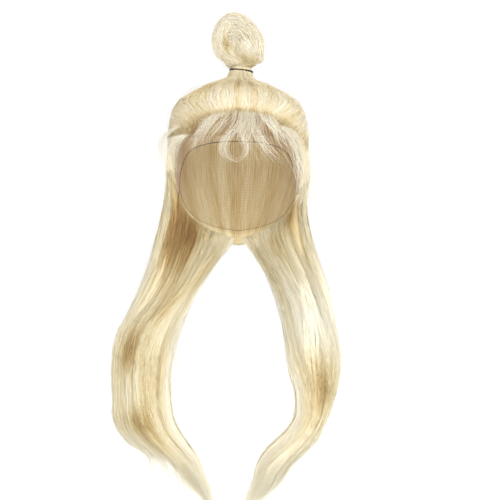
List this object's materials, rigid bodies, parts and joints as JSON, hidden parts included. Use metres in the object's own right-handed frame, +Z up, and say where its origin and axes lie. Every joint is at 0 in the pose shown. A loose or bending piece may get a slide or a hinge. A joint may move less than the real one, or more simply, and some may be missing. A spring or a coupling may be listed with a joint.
{
  "type": "full lace wig",
  "caption": "Long loose-hair wig on a hollow sheer lace cap: hair swept up from the hairline into a tied top knot, the rest drawn forward over the shoulders.",
  "frame": {"origin": "inside of the top of the lace cap, where the crown of the head seats", "axes": "+Z up out of the crown, -Y out of the face opening, +X to the viewer's right seen from the front; left and right in names are as the viewer sees them"},
  "size_m": [0.2799, 0.2042, 0.6254],
  "materials": {
    "lace": "sheer fine net, matt",
    "hair": "pale blonde fibre, satin sheen along the strands",
    "elastic": "dark woven elastic, matt"
  },
  "bodies": {
    "root": {"lace_cap": "lace", "crown_hair": "hair", "back_hair": "hair", "top_knot": "hair", "hair_tie": "elastic", "left_length": "hair", "right_length": "hair", "left_temple_lock": "hair", "right_temple_lock": "hair"}
  },
  "joints": []
}
